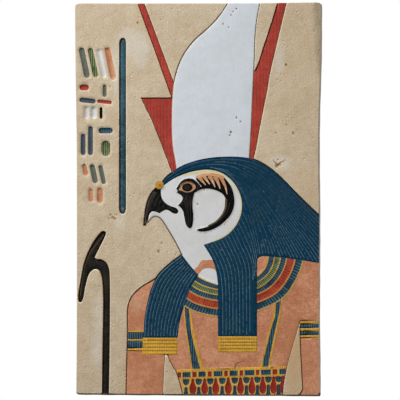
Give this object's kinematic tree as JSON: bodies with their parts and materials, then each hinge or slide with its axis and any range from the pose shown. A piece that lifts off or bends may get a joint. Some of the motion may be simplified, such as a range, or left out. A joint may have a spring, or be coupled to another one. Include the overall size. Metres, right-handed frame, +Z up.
{
  "type": "painted relief wall plaque",
  "caption": "Upright rectangular cast wall plaque, painted in sunk relief with a falcon-headed god in a tall crown, striped wig, collar and belt.",
  "frame": {"origin": "middle of the flat back face, where the plaque meets the wall", "axes": "+Z up the plaque, +X across it to the right as seen from the front, -Y out of the carved front; +Y points into the wall"},
  "size_m": [0.251, 0.018, 0.4009],
  "materials": {
    "relief_plaque": "matt painted cast stone"
  },
  "bodies": {
    "root": {"relief_plaque": "relief_plaque"}
  },
  "joints": []
}
